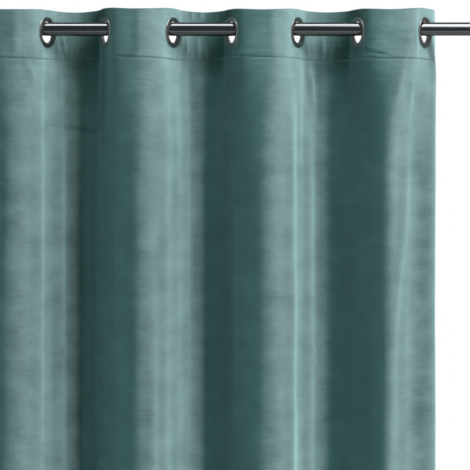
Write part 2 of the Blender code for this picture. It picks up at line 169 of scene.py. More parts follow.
# One row for each pleat, pucker or soft crease: the crossing it lies beside, its distance along
# the cloth from there, the height of its middle, its rise towards the viewer (or fall, below
# zero), its half width and half length, and how far its line leans from upright, in degrees,
# clockwise as seen from the front. A row without a lean is upright.
Pleat = namedtuple("Pleat", "beside along height rise width length lean", defaults=(0,))
PLEATS = (
    # Pleats and puckers of the heading, pinched at its top edge and at the seam
    Pleat(1, 0.0486, -0.030, 0.0030, 0.0035, 0.018, -14),
    Pleat(1, 0.0320, -0.034, 0.0020, 0.0035, 0.014),
    Pleat(1, 0.0600, -0.043, 0.0022, 0.0035, 0.010),
    Pleat(1, 0.0690, -0.043, 0.0020, 0.0032, 0.010, 4),
    Pleat(3, 0.0433, -0.032, 0.0028, 0.0035, 0.018),
    Pleat(3, 0.0515, -0.046, 0.0018, 0.0032, 0.008),
    Pleat(3, 0.0648, -0.031, 0.0028, 0.0035, 0.016),
    Pleat(3, 0.0534, 0.031, 0.0022, 0.0035, 0.008),
    Pleat(3, 0.0700, 0.031, 0.0022, 0.0035, 0.008),
    Pleat(4, -0.0701, -0.044, 0.0020, 0.0032, 0.010),
    Pleat(4, 0.0800, -0.0445, 0.0010, 0.0025, 0.050, 90),
    Pleat(5, 0.0350, -0.035, 0.0022, 0.0035, 0.014, -8),
    Pleat(5, 0.0670, -0.031, 0.0028, 0.0035, 0.016),
    Pleat(6, -0.0558, -0.035, 0.0016, 0.0030, 0.014, 8),
    Pleat(6, -0.0692, -0.042, 0.0020, 0.0035, 0.010, 20),
    Pleat(6, 0.0570, -0.0466, -0.0016, 0.0028, 0.022, 105),
    Pleat(6, 0.0550, -0.0400, 0.0013, 0.0028, 0.022, 105),
    Pleat(7, -0.0330, -0.020, 0.0012, 0.0050, 0.022),
    # Soft swells and leaning ridges at the seam and just below it
    Pleat(5, 0.0410, -0.092, 0.0040, 0.0065, 0.045, -11),
    Pleat(5, 0.0637, -0.066, 0.0020, 0.0050, 0.012),
    Pleat(7, -0.0720, -0.106, 0.0030, 0.0060, 0.045, 14),
    Pleat(7, -0.0380, -0.130, 0.0024, 0.0055, 0.030, 5),
    Pleat(1, -0.0760, -0.010, 0.0026, 0.0090, 0.050),
    Pleat(3, -0.0850, -0.010, 0.0030, 0.0095, 0.070),
    Pleat(5, -0.0700, 0.000, 0.0024, 0.0090, 0.030),
    Pleat(1, -0.0500, -0.075, 0.0026, 0.0070, 0.030, -28),
    Pleat(1, 0.0520, -0.100, -0.0022, 0.0085, 0.060),
    Pleat(3, 0.0500, -0.100, -0.0024, 0.0085, 0.060),
    Pleat(5, 0.0570, -0.100, -0.0026, 0.0085, 0.060),
    # Long upright ridges and hollows of the folds
    Pleat(2, -0.0130, -0.400, 0.0024, 0.0068, 0.500),
    Pleat(2, 0.0400, -0.500, 0.0016, 0.0068, 0.300),
    Pleat(4, 0.0080, -0.480, 0.0017, 0.0068, 0.260),
    Pleat(1, -0.0180, -0.350, 0.0022, 0.0085, 0.400),
    Pleat(1, 0.0140, -0.620, -0.0016, 0.0075, 0.140),
    Pleat(3, -0.0610, -0.700, 0.0038, 0.0100, 0.200),
    Pleat(5, -0.0290, -0.800, 0.0018, 0.0200, 0.450),
    Pleat(7, -0.0625, -0.420, 0.0030, 0.0120, 0.190, 7),
    Pleat(7, 0.0000, -0.720, 0.0050, 0.0300, 0.140),
    Pleat(5, 0.0060, -0.200, 0.0014, 0.0060, 0.160),
    Pleat(1, 0.0500, -0.350, -0.0030, 0.0100, 0.400),
    Pleat(3, 0.0520, -0.350, -0.0024, 0.0100, 0.400),
    Pleat(5, 0.0560, -0.300, -0.0022, 0.0100, 0.300),
    # Level creases, dents and the row of press marks
    Pleat(3, -0.0500, -0.400, -0.0036, 0.0180, 0.050, 20),
    Pleat(6, 0.0600, -0.600, -0.0014, 0.0060, 0.045, -2),
    Pleat(7, -0.0120, -0.580, 0.0012, 0.0060, 0.040),
    Pleat(1, 0.0650, -0.182, -0.0036, 0.0046, 0.060, 96),
    Pleat(3, 0.0450, -0.574, -0.0014, 0.0035, 0.030, 92),
    Pleat(1, 0.0300, -0.590, -0.0028, 0.0070, 0.011),
    Pleat(5, 0.0420, -0.586, 0.0016, 0.0060, 0.007),
    Pleat(5, 0.0640, -0.586, 0.0014, 0.0060, 0.007),
    Pleat(5, 0.0480, -0.606, 0.0014, 0.0060, 0.007),
    Pleat(1, 0.0150, -0.577, -0.0022, 0.0060, 0.055, 90),
    # Lines that the package's folds left, about 0.39 m apart
    Pleat(3, 0.0500, -0.970, -0.0010, 0.0080, 0.400, 90),
    Pleat(4, 0.0300, -1.360, -0.0010, 0.0080, 0.500, 90),
    Pleat(3, 0.0300, -1.750, -0.0010, 0.0080, 0.450, 90),
    Pleat(4, 0.0300, -2.140, -0.0010, 0.0080, 0.500, 90),
)

# Slack: the cloth is never quite smooth between its folds
SLACK_RISE = 0.0018
SLACK_WIDTH = 0.050
SLACK_HEIGHT = 0.140
SLACK_LAYER = 0.0          # place in the noise that the slack is drawn from

# Puckers: the seam's stitching draws the cloth together above and below it
PUCKER_RISE = 0.0006
PUCKER_WIDTH = 0.011
PUCKER_HEIGHT = 0.050
PUCKER_REACH = 0.014
PUCKER_LAYER = 5.0

# The stitching pulls a shallow groove along each row of stitches
GROOVE_DEPTH = 0.0009
GROOVE_WIDTH = 0.0016
ROLL_RISE = 0.0006
ROLL_OFFSET = 0.0045
ROLL_WIDTH = 0.0030
ROW_INSET = 0.0020         # from a hem's inner edge to its row of stitches
BARE_SHARE = 0.12          # share of each stitch's length that dips out of sight
SUNK_SHARE = 0.3           # share of the thread's thickness that sinks into the pile

# Mesh rows: from each depth below the seam, the gap to the next row
RowGap = namedtuple("RowGap", "below gap")
PANEL_ROWS = (
    RowGap(0.000, 0.0010), RowGap(0.004, 0.0020), RowGap(0.012, 0.0035), RowGap(0.040, 0.0070),
    RowGap(0.116, 0.0030), RowGap(0.140, 0.0090), RowGap(0.508, 0.0030), RowGap(0.562, 0.0110),
    RowGap(0.80, 0.0300), RowGap(0.90, 0.0080), RowGap(0.932, 0.0300), RowGap(1.29, 0.0080),
    RowGap(1.322, 0.0300), RowGap(1.68, 0.0080), RowGap(1.712, 0.0300), RowGap(2.07, 0.0080),
    RowGap(2.102, 0.0300), RowGap(2.36, 0.0120))
HEADING_ROWS = (
    RowGap(0.000, 0.0010), RowGap(0.004, 0.0020), RowGap(0.012, 0.0030), RowGap(0.080, 0.0020))
PANEL_COLUMN = 0.0052
HEADING_COLUMN = 0.0021

# One row for each layer of unevenness in the pile, drawn as noise: its size along the cloth and
# down it, its detail and its weight. The layers' sum averages 0.84.
PileLayer = namedtuple("PileLayer", "width height detail weight")
PILE_LAYERS = (
    # Level streaks of the weft
    PileLayer(0.0500, 0.0034, 3.0, 0.28),
    # Grain of the pile
    PileLayer(0.0024, 0.0016, 2.0, 0.50),
    # Patches that handling leaves
    PileLayer(0.0600, 0.0400, 4.0, 0.90),
)
# What the layers' sum is multiplied by and what is added, to shift the mix of painted shade and
# painted light and to scale its colour
LIGHT_MIX_SHIFT = (0.8, -0.67)
TONE = (1.2, -0.01)

# Direction of the key light, which the colour is painted pale towards, and the range of the cloth's
# turn to it from painted shade to painted light
KEY_LIGHT_WAY = (0.77, -0.64, 0.0)
PAINTED_LIGHT_RANGE = (0.0, 1.0)

# Each plated metal: the size of the pattern on it along X, Y and Z, the pattern's detail and
# coarseness, what share of the colour is left where it is dark, the metal's roughness where the
# pattern is dark and where it is pale, and how strong the pattern is as relief.
Plating = namedtuple("Plating", "size detail coarseness dark smooth rough relief")
EYELET_PLATE = Plating((0.006, 0.006, 0.006), 4.0, 0.5, 0.85, 0.26, 0.38, 0.0)
ROD_PLATE = Plating((0.12, 0.0012, 0.0012), 3.0, 0.7, 0.80, 0.12, 0.20, 0.05)

# Sizes that the other finishes' patterns are drawn at
GROUND_PITCH = 0.0024      # from thread to thread of the woven ground
THREAD_TWIST = 0.0004      # clouds of light and dark that the thread's twist leaves
ROLLER_SIZE = 0.02         # stipple of the floor paint
WAVE_BANDS = 20 / (2 * math.pi)     # bands that a wave texture draws to a unit

# Stage
FLOOR_SIZE = 6.0
FLOOR_CLEARANCE = 0.02
ROOM_GREY = (0.8, 0.8, 0.8, 1)
ROOM_GLOW = 0.008          # brightness of the room on all but polished metal
PHOTO_PIXEL = 0.00182      # metres to a pixel of the photograph, at the rod
PHOTO_WIDTH = 470
PHOTO_CENTRE = (0.0596, -0.3745)

# One row for each soft light: its turn to the viewer's right and its height above the level, in
# degrees, its distance from the point of the curtain's middle that it faces, the height of that
# point, its width and height, how wide its light spreads in degrees, its share of the stage's
# light power, and whether it shines on the cloth or only shows in polished metal.
Light = namedtuple("Light", "name side up distance aim width height spread share on_cloth")
LIGHTS = (
    Light("key", 52, 50, 4.5, -0.6, 2.2, 2.2, 180, 0.50, True),
    Light("front_key", 35, 50, 4.5, -0.6, 2.2, 2.2, 180, 0.15, True),
    Light("heading_key", 42, 0, 3.0, 0.44, 0.6, 0.2, 26, 0.009, True),
    Light("low_key", 50, 0, 3.0, -1.1, 1.0, 2.0, 180, 0.16, True),
    Light("foot_key", 46, 5, 3.0, -2.0, 1.0, 1.0, 44, 0.05, True),
    Light("left_fill", -76, 0, 3.0, -0.6, 1.0, 1.8, 180, 0.18, True),
    Light("behind_right", 165, 10, 3.0, -1.2, 1.4, 2.4, 180, 0.22, True),
    Light("behind_left", -165, 10, 3.0, -1.2, 1.4, 2.4, 180, 0.18, True),
    Light("overhead_gleam", 0, 76, 2.5, 0.0, 3.0, 1.4, 180, 1.0, False),
    Light("low_gleam", 0, -38, 2.2, 0.0, 3.0, 0.35, 180, 0.05, False),
    Light("right_gleam", 45, 0, 3.0, 0.0, 0.5, 1.6, 180, 0.08, False),
    Light("left_gleam", -45, 0, 3.0, 0.0, 0.5, 1.6, 180, 0.08, False),
)


def length_property(name, description, usual, least, most):
    """Property for a length in metres."""
    return FloatProperty(name=name, description=description, default=usual, min=least, max=most,
                         unit="LENGTH")


class CurtainSizes(bpy.types.PropertyGroup):
    """Sizes that a maker would change."""
    panel_thickness: length_property(
        "Velvet thickness", "Thickness of one layer of velvet with its pile",
        PANEL_THICKNESS, 0.001, 0.003)
    heading_thickness: length_property(
        "Heading thickness", "Thickness of the doubled band", DOUBLED_THICKNESS, 0.001, 0.004)
    stitch_length: length_property(
        "Stitch length", "Length of one stitch from hole to hole", 0.0036, 0.002, 0.006)
    thread_diameter: length_property(
        "Thread diameter", "Thickness of the sewing thread", 0.0005, 0.0002, 0.001)
    ring_sides: IntProperty(
        name="Eyelet sides", description="Sides of each turned eyelet part",
        default=72, min=24, max=128)
    rod_sides: IntProperty(
        name="Rod sides", description="Sides of the round rod", default=96, min=32, max=128)


def linear(code):
    """Linear colour from an sRGB hex value."""
    parts = [int(code[place:place + 2], 16) / 255 for place in (1, 3, 5)]
    return [part / 12.92 if part <= 0.04045 else ((part + 0.055) / 1.055) ** 2.4 for part in parts]


def colour_property(name, description, code):
    """Property for a colour, with its default from an sRGB hex value."""
    return FloatVectorProperty(name=name, description=description, subtype="COLOR", size=3,
                               min=0.0, max=1.0, default=linear(code))


class CurtainColours(bpy.types.PropertyGroup):
    """Colours that a maker would change."""
    # Painted shade and painted light: the velvet's colour where the cloth turns away from the key
    # light, and where it turns towards it
    pile_shade_side: colour_property("Pile, deep", "Velvet seen against the lie of its pile", "#0e5650")
    pile_lit_side: colour_property("Pile, pale", "Velvet seen along the lie of its pile", "#657c7c")
    pile_sheen: colour_property("Pile sheen", "Light that slips along the fibres", "#d1feff")
    ground: colour_property("Woven ground", "Back of the velvet", "#58726f")
    thread: colour_property("Thread", "Sewing thread", "#3a5452")
    nickel: colour_property("Eyelet metal", "Gunmetal nickel plate on the eyelets", "#8f9190")
    rod_metal: colour_property("Rod metal", "Black nickel plate on the rod", "#5f6163")


class StageSizes(bpy.types.PropertyGroup):
    """The studio's lights and camera."""
    camera_distance: length_property(
        "Camera distance", "From the camera to the rod", 5.0, 1.0, 12.0)
    light_power: FloatProperty(
        name="Light power", description="Power at one metre of a light whose share is 1",
        default=17.2, min=0.0)
    room_gleam: FloatProperty(
        name="Room gleam", description="Brightness of the room that the polished metal mirrors",
        default=0.25, min=0.0)


def ease(share):
    """Smooth rise from 0 to 1."""
    share = np.clip(share, 0.0, 1.0)
    return share * share * (3 - 2 * share)


def blend(first, second, share):
    """Value a share of the way from the first to the second."""
    return first + (second - first) * share


def free_share(heights):
    """0 in the heading, 1 where the folds hang in their free shape."""
    left_over = 1 - np.clip((SEAM_HEIGHT - heights) / SETTLE_DEPTH, 0.0, 1.0)
    return 1 - left_over**2


def foot_share(heights):
    """0 down to the free stretch, 1 at the foot of the cloth."""
    free_height = SEAM_HEIGHT - SETTLE_DEPTH
    return ease((free_height - heights) / (free_height - FOOT_HEIGHT))


def plan(first, second):
    """Plan points or directions, one for each height."""
    return np.stack([first, second], axis=-1)


def crossing_at(index, heights):
    """Plan points and directions of the cloth, left to right, where it crosses the rod's line."""
    row = CROSSINGS[index]
    free, foot = free_share(heights), foot_share(heights)
    shift = blend(row.free_shift * free, row.foot_shift, foot)
    turn = np.radians(blend(blend(row.turn, row.free_turn, free), row.foot_turn, foot))
    forwards = -1 if index % 2 == 0 else 1
    return plan(row.x + shift, -row.free_forward * free), plan(np.cos(turn), forwards * np.sin(turn))


def flat_at(heights):
    """Length of the straight cloth on each side of a crossing."""
    return blend(EYELET_FLAT, FREE_FLAT, free_share(heights))


def curve_points(start, start_way, end, end_way, first_handle, second_handle):
    """Points of a cubic Bezier curve between two plan points, at every height."""
    first = start + start_way * first_handle[:, None]
    second = end - end_way * second_handle[:, None]
    t = np.linspace(0, 1, CURVE_SAMPLES + 1)[None, :, None]
    s = 1 - t
    return (s**3 * start[:, None] + 3 * s * s * t * first[:, None]
            + 3 * s * t * t * second[:, None] + t**3 * end[:, None])


def length_of(points):
    """Length of a line of plan points, at every height."""
    return np.linalg.norm(np.diff(points, axis=1), axis=2).sum(axis=1)


def fold_points(index, heights):
    """Plan points of one fold, whose crest stands out as far as its length of cloth lets it."""
    fold = FOLDS[index]
    free = free_share(heights)
    start, start_way = crossing_at(index, heights)
    end, end_way = crossing_at(index + 1, heights)
    flat = flat_at(heights)[:, None]
    first, last = start + start_way * flat, end - end_way * flat
    crest_x = blend(start[:, 0], end[:, 0], blend(fold.crest, fold.free_crest, free))
    left_round = (crest_x - first[:, 0]) * blend(fold.left, fold.free_left, free)
    right_round = (last[:, 0] - crest_x) * blend(fold.right, fold.free_right, free)
    handle = blend(fold.handle, FREE_HANDLE, free)
    forwards = -1 if index % 2 == 0 else 1
    level = plan(np.ones_like(crest_x), np.zeros_like(crest_x))
    low, high = (np.full_like(crest_x, depth) for depth in DEPTH_RANGE)
    for _ in range(HALVINGS):
        depth = (low + high) / 2
        crest = plan(crest_x, forwards * depth)
        left = curve_points(first, start_way, crest, level,
                            handle * np.linalg.norm(crest - first, axis=1), left_round)
        right = curve_points(crest, level, last, end_way,
                             right_round, handle * np.linalg.norm(last - crest, axis=1))
        points = np.concatenate([start[:, None], left, right[:, 1:], end[:, None]], axis=1)
        short = length_of(points) < fold.cloth
        low, high = np.where(short, depth, low), np.where(short, high, depth)
    return points


def side_points(index, heights, outwards):
    """Plan points from an outer crossing to its side edge: straight, bending back, then straight."""
    start, way = crossing_at(index, heights)
    flat = flat_at(heights)
    reach = blend(SIDE_REACH, FREE_SIDE_REACH, free_share(heights))
    turn_left = math.pi / 2 - np.arccos(way[:, 0])
    bend = (reach - flat * way[:, 0]) * turn_left / (1 - abs(way[:, 1]))
    steps = (np.arange(CURVE_SAMPLES) + 0.5) / CURVE_SAMPLES
    angles = math.pi / 2 - turn_left[:, None] * (1 - steps)
    moves = plan(outwards * np.cos(angles), np.sin(angles)) * (bend / CURVE_SAMPLES)[:, None, None]
    first = start + plan(outwards * way[:, 0], abs(way[:, 1])) * flat[:, None]
    bent = first[:, None] + np.cumsum(moves, axis=1)
    last = bent[:, -1] + plan(np.zeros_like(flat), SIDE_LENGTH - flat - bend)
    return np.concatenate([start[:, None], first[:, None], bent, last[:, None]], axis=1)


def plan_grid(heights, columns):
    """Plan points of the cloth at some heights, at some distances along it."""
    parts = [side_points(0, heights, -1)[:, ::-1]]
    parts += [fold_points(index, heights)[:, 1:] for index in range(len(FOLDS))]
    parts.append(side_points(len(FOLDS), heights, 1)[:, 1:])
    sections = np.concatenate(parts, axis=1)
    grid = np.empty((len(heights), len(columns), 2))
    for row, section in enumerate(sections):
        along = np.concatenate([[0.0], np.cumsum(np.linalg.norm(np.diff(section, axis=0), axis=1))])
        for axis in (0, 1):
            grid[row, :, axis] = np.interp(columns, along, section[:, axis])
    return grid


def eyelet_distances():
    """Distance of each crossing along the cloth from its left edge."""
    return SIDE_LENGTH + np.concatenate([[0.0], np.cumsum([fold.cloth for fold in FOLDS])])


CLOTH_WIDTH = eyelet_distances()[-1] + SIDE_LENGTH


def edge_height(columns, heights, sags):
    """Height of an edge that is given at the eyelets and sags in between."""
    eyelets = eyelet_distances()
    level = np.interp(columns, eyelets, heights)
    share = np.interp(columns, eyelets, np.arange(len(eyelets)))
    fold = np.clip(share.astype(int), 0, len(sags) - 1)
    return level - np.array(sags)[fold] * np.sin(math.pi * share) ** 2


def top_height(columns):
    """Height of the heading's top edge."""
    return edge_height(columns, [row.top for row in CROSSINGS], [fold.sag for fold in FOLDS])


def seam_height(columns):
    """Height of the row of stitches that ends the heading."""
    return edge_height(columns, [row.seam for row in CROSSINGS], [SEAM_SAG] * len(FOLDS))


def row_places(gaps, end):
    """Places from 0 to an end, at the gaps that a table gives. A place that stops just short of a
    table row's start counts as there."""
    places = [0.0]
    while places[-1] < end:
        gap = [row.gap for row in gaps if row.below <= places[-1] + GAP][-1]
        places.append(places[-1] + gap)
    places[-1] = end
    return np.array(places)


def column_places(gap):
    """Evenly spaced distances along the cloth, from its left edge to its right one."""
    return np.linspace(0.0, CLOTH_WIDTH, round(CLOTH_WIDTH / gap) + 1)


def ripple(columns, heights, width, height, layer):
    """Uneven swells and dips, from about -1 to 1, of a width along the cloth and a height."""
    return np.array([[noise.noise((along / width, up / height, layer))
                      for along, up in zip(columns, row)] for row in heights])


def relief(columns, heights):
    """Rise of the cloth over its folds, from creases, pleats, slack and the seam's puckers."""
    eyelets = eyelet_distances()
    rise = np.zeros_like(heights)
    for crease in CREASES:
        offset = (columns - eyelets[crease.beside] - crease.along) / crease.reach
        strength = ease((crease.begins - heights) / CREASE_FADE)
        strength = strength * ease((heights - crease.ends) / CREASE_FADE)
        rise += crease.rise * strength * np.exp(-offset**2)
    for pleat in PLEATS:
        sideways = columns - eyelets[pleat.beside] - pleat.along
        upwards = heights - pleat.height
        lean = math.radians(pleat.lean)
        across = sideways * math.cos(lean) - upwards * math.sin(lean)
        length = sideways * math.sin(lean) + upwards * math.cos(lean)
        rise += pleat.rise * np.exp(-(across / pleat.width) ** 2 - (length / pleat.length) ** 2)
    slack = ripple(columns, heights, SLACK_WIDTH, SLACK_HEIGHT, SLACK_LAYER)
    puckers = ripple(columns, heights, PUCKER_WIDTH, PUCKER_HEIGHT, PUCKER_LAYER)
    pulled = np.exp(-((heights - seam_height(columns)) / PUCKER_REACH) ** 2)
    return rise + SLACK_RISE * slack + PUCKER_RISE * puckers * pulled


def groove(distance):
    """The dip along a row of stitches and the soft roll beside it, at a distance from the row."""
    dip = GROOVE_DEPTH * np.exp(-(distance / GROOVE_WIDTH) ** 2)
    roll = ROLL_RISE * np.exp(-((distance - ROLL_OFFSET) / ROLL_WIDTH) ** 2)
    return roll - dip


def cloth_front(points):
    """Directions that the cloth's front faces, over a grid of points whose first row is the top."""
    faces = np.cross(np.gradient(points, axis=0), np.gradient(points, axis=1))
    return faces / np.linalg.norm(faces, axis=2, keepdims=True)


def raised(flat, columns, heights, distances):
    """Points of a stretch of cloth, with the relief and the groove over its folds. The distances
    are those of its rows from the seam."""
    points = np.dstack([flat, heights])
    rise = relief(columns, heights) + groove(distances)[:, None]
    return points + cloth_front(points) * rise[:, :, None]


def panel_grid(columns):
    """Points of the middle of the panel's cloth, from the seam to the foot."""
    depths = row_places(PANEL_ROWS, SEAM_HEIGHT - FOOT_HEIGHT)
    levels = SEAM_HEIGHT - depths
    seam = (seam_height(columns) - GAP / 2 - SEAM_HEIGHT)[None, :]
    heights = levels[:, None] + seam * np.exp(-(depths / SEAM_FADE) ** 2)[:, None]
    return raised(plan_grid(levels, columns), columns, heights, depths)


def heading_grid(columns):
    """Points of the middle of the heading's doubled cloth, from its top edge to the seam."""
    top, seam = top_height(columns), seam_height(columns) + GAP / 2
    depth = float((top - seam).mean())
    places = row_places(HEADING_ROWS, depth)[::-1]
    section = plan_grid(np.array([SEAM_HEIGHT]), columns)
    heights = seam + (top - seam) * (places / depth)[:, None]
    return raised(np.repeat(section, len(places), axis=0), columns, heights, places)


def on_grid(grid, rows, columns):
    """Values of a grid at fractional rows and columns."""
    row = np.clip(rows.astype(int), 0, grid.shape[0] - 2)
    column = np.clip(columns.astype(int), 0, grid.shape[1] - 2)
    right = (columns - column)[:, None]
    upper = blend(grid[row, column], grid[row, column + 1], right)
    lower = blend(grid[row + 1, column], grid[row + 1, column + 1], right)
    return blend(upper, lower, (rows - row)[:, None])


def stitch_places(points, rows, columns, length):
    """Middles, directions and fronts of even stitches along a line over a grid of the cloth."""
    line = on_grid(points, rows, columns)
    fronts = on_grid(cloth_front(points), rows, columns)
    along = np.concatenate([[0.0], np.cumsum(np.linalg.norm(np.diff(line, axis=0), axis=1))])
    ends = np.arange(length / 2, along[-1], length)

    def at(values, places):
        return np.stack([np.interp(places, along, values[:, axis]) for axis in range(3)], axis=1)

    ways = np.diff(at(line, ends), axis=0)
    ways /= np.linalg.norm(ways, axis=1, keepdims=True)
    middles = (ends[:-1] + ends[1:]) / 2
    return at(line, middles), ways, at(fronts, middles)


def sew(name, rows_of_stitches, thickness, sizes):
    """Rows of stitches on both faces of the cloth as one mesh: copies of one oval loop of thread."""
    bpy.ops.object.select_all(action="DESELECT")
    bpy.ops.mesh.primitive_uv_sphere_add(segments=6, ring_count=4, radius=0.5)
    stitches = bpy.context.active_object
    thread = sizes.thread_diameter
    bpy.ops.transform.resize(value=(thread, thread, sizes.stitch_length * (1 - BARE_SHARE)))
    bpy.ops.object.transform_apply(scale=True)
    loop = np.array([vertex.co for vertex in stitches.data.vertices])
    faces = [list(face.vertices) for face in stitches.data.polygons]
    lift = thickness / 2 + thread * (0.5 - SUNK_SHARE)
    corners = []
    for middles, ways, fronts in rows_of_stitches:
        sides = np.cross(ways, fronts)
        for face_of_cloth in (1, -1):
            corners.append(middles[:, None] + ways[:, None] * loop[None, :, 2:]
                           + sides[:, None] * loop[None, :, 1:2]
                           + fronts[:, None] * (loop[None, :, :1] + face_of_cloth * lift))
    corners = np.concatenate(corners).reshape(-1, 3)
    all_faces = [[corner + start for corner in face]
                 for start in range(0, len(corners), len(loop)) for face in faces]
    stitches.name = name
    stitches.data = bpy.data.meshes.new(name)
    stitches.data.from_pydata(corners, [], all_faces)
    stitches.data.shade_smooth()
    stitches.data.materials.append(material_for("Spun polyester thread", thread_material))
    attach(stitches, "root")
    return stitches


def only(thing):
    """Selects one object alone and makes it the active one."""
    bpy.ops.object.select_all(action="DESELECT")
    thing.select_set(True)
    bpy.context.view_layer.objects.active = thing


def apply_modifiers(thing):
    """Applies all of an object's modifiers, in order."""
    only(thing)
    for modifier in list(thing.modifiers):
        bpy.ops.object.modifier_apply(modifier=modifier.name)


def round_edges(thing, name, width, segments):
    """Bevels the edges that are sharper than the angle for rounded ones."""
    bevel = thing.modifiers.new(name, "BEVEL")
    bevel.width = width
    bevel.segments = segments
    bevel.limit_method = "ANGLE"
    bevel.angle_limit = ROUNDED_ANGLE


def new_object(name, data):
    """Object of a mesh, light or camera, linked to the scene."""
    thing = bpy.data.objects.new(name, data)
    bpy.context.scene.collection.objects.link(thing)
    return thing


def sheet_object(name, points, columns):
    """Object of a sheet from a grid of points, with a UV map of the flat cloth in metres."""
    rows, count = points.shape[:2]
    corners = np.arange(rows * count).reshape(rows, count)
    faces = np.stack(
        [corners[:-1, :-1], corners[1:, :-1], corners[1:, 1:], corners[:-1, 1:]], axis=-1)
    mesh = bpy.data.meshes.new(name)
    mesh.from_pydata(points.reshape(-1, 3), [], faces.reshape(-1, 4).tolist())
    flat = np.dstack([np.broadcast_to(columns, (rows, count)), points[:, :, 2]]).reshape(-1, 2)
    used = np.empty(len(mesh.loops), dtype=np.int32)
    mesh.loops.foreach_get("vertex_index", used)
    mesh.uv_layers.new(name="Cloth").data.foreach_set("uv", flat[used].ravel())
    return new_object(name, mesh)


def thicken(sheet, thickness, single_share=1.0):
    """Gives a sheet its thickness, half on each side, and rounds its cut edges. Where the sheet has
    hems, the thickness is theirs, and the rest of the cloth has a share of it."""
    solidify = sheet.modifiers.new("Thickness", "SOLIDIFY")
    solidify.thickness = thickness
    solidify.offset = 0.0
    solidify.material_offset = 1
    solidify.material_offset_rim = 0
    if "hems" in sheet.vertex_groups:
        solidify.vertex_group = "hems"
        solidify.thickness_vertex_group = single_share
    round_edges(sheet, "Cut edges", thickness * CUT_EDGE_ROUNDING, 2)
    apply_modifiers(sheet)
    sheet.data.shade_smooth()


def in_hem(along, height):
    """Whether the cloth is doubled there by a side hem or the foot hem."""
    inset = np.minimum(along, CLOTH_WIDTH - along)
    return (inset < SIDE_HEM_WIDTH) | (height < FOOT_HEIGHT + FOOT_HEM_DEPTH)


def turn_pile_out(panel):
    """The hems are turned to the back, so the pile shows on their back too."""
    mesh = panel.data
    places = np.empty(2 * len(mesh.loops))
    mesh.uv_layers["Cloth"].data.foreach_get("uv", places)
    first, material = (np.empty(len(mesh.polygons), dtype=np.int32) for _ in range(2))
    mesh.polygons.foreach_get("loop_start", first)
    mesh.polygons.foreach_get("material_index", material)
    material[in_hem(*places.reshape(-1, 2)[first].T)] = 0
    mesh.polygons.foreach_set("material_index", material)


def set_node(tree, node, settings=None, links=None):
    """Gives a node its settings, by attribute or socket, and its links, by socket."""
    for name, value in (settings or {}).items():
        if isinstance(name, int) or name in node.inputs:
            node.inputs[name].default_value = value
        else:
            setattr(node, name, value)
    for name, output in (links or {}).items():
        tree.links.new(output, node.inputs[name])
    return node


def add_node(tree, kind, settings=None, links=None):
    """Adds a node with its settings and its links."""
    return set_node(tree, tree.nodes.new(kind), settings, links)


def new_material(name):
    """Material with only its shader and output, its node tree and the shader."""
    material = bpy.data.materials.new(name)
    material.use_nodes = True
    return material, material.node_tree, material.node_tree.nodes["Principled BSDF"]


def shaded(colour, share=1.0):
    """Colour with alpha, a share as bright."""
    return (*(min(1.0, value * share) for value in colour), 1)


def velvet_material(colours):
    """Cotton-backed polyester velvet. Its cut pile drinks light met head on and sends a pale sheen
    along the fibres at a slant. Light and shade are painted into its colour too: the cloth is pale
    where it turns towards the key light and deep where it turns away. The weft shows as faint level
    streaks, and handling leaves patches of pile. The real pile is 0.2 mm across, drawn here as
    grains of 2.4 by 1.6 mm so that it shows."""
    material, tree, shader = new_material("Teal velvet pile")
    place = add_node(tree, "ShaderNodeUVMap", {"uv_map": "Cloth"})
    lie = None
    for layer in PILE_LAYERS:
        stretch = add_node(tree, "ShaderNodeMapping",
                           {"Scale": (1 / layer.width, 1 / layer.height, 1)},
                           {"Vector": place.outputs["UV"]})
        uneven = add_node(tree, "ShaderNodeTexNoise",
                          {"Scale": 1.0, "Detail": layer.detail, "Roughness": 0.6},
                          {"Vector": stretch.outputs[0]})
        terms = {0: uneven.outputs[0]}
        if lie:
            terms[2] = lie.outputs[0]
        lie = add_node(tree, "ShaderNodeMath",
                       {"operation": "MULTIPLY_ADD", 1: layer.weight, 2: 0.0}, terms)
    # Painted light and shade: the base colour goes from deep to pale as the cloth's normal turns
    # towards the key light
    body = add_node(tree, "ShaderNodeTexCoord")
    towards_key_light = add_node(tree, "ShaderNodeVectorMath", {"operation": "DOT_PRODUCT", 1: KEY_LIGHT_WAY},
                      {0: body.outputs["Normal"]})
    low, high = PAINTED_LIGHT_RANGE
    painted_light = add_node(tree, "ShaderNodeMapRange",
                   {"From Min": low, "From Max": high, "To Min": 0.0, "To Max": 1.0},
                   {"Value": towards_key_light.outputs["Value"]})
    shift = add_node(tree, "ShaderNodeMath",
                     {"operation": "MULTIPLY_ADD", 1: LIGHT_MIX_SHIFT[0], 2: LIGHT_MIX_SHIFT[1]},
                     {0: lie.outputs[0]})
    pale = add_node(tree, "ShaderNodeMath", {"operation": "ADD"},
                    {0: painted_light.outputs[0], 1: shift.outputs[0]})
    shade_side_colour, lit_side_colour = shaded(colours.pile_shade_side), shaded(colours.pile_lit_side)
    colour = add_node(tree, "ShaderNodeMix", {"data_type": "RGBA", 6: shade_side_colour, 7: lit_side_colour},
                      {0: pale.outputs[0]})
    tone = add_node(tree, "ShaderNodeMath", {"operation": "MULTIPLY_ADD", 1: TONE[0], 2: TONE[1]},
                    {0: lie.outputs[0]})
    toned = add_node(tree, "ShaderNodeVectorMath", {"operation": "SCALE"},
                     {0: colour.outputs[2], "Scale": tone.outputs[0]})
    bump = add_node(tree, "ShaderNodeBump", {"Strength": 0.45, "Distance": 0.0008},
                    {"Height": lie.outputs[0]})
    set_node(tree, shader,
             {"Roughness": 0.95, "Specular IOR Level": 0.05, "Sheen Weight": 1.0,
              "Sheen Roughness": 0.6, "Sheen Tint": shaded(colours.pile_sheen)},
             {"Base Color": toned.outputs[0], "Normal": bump.outputs[0]})
    return material


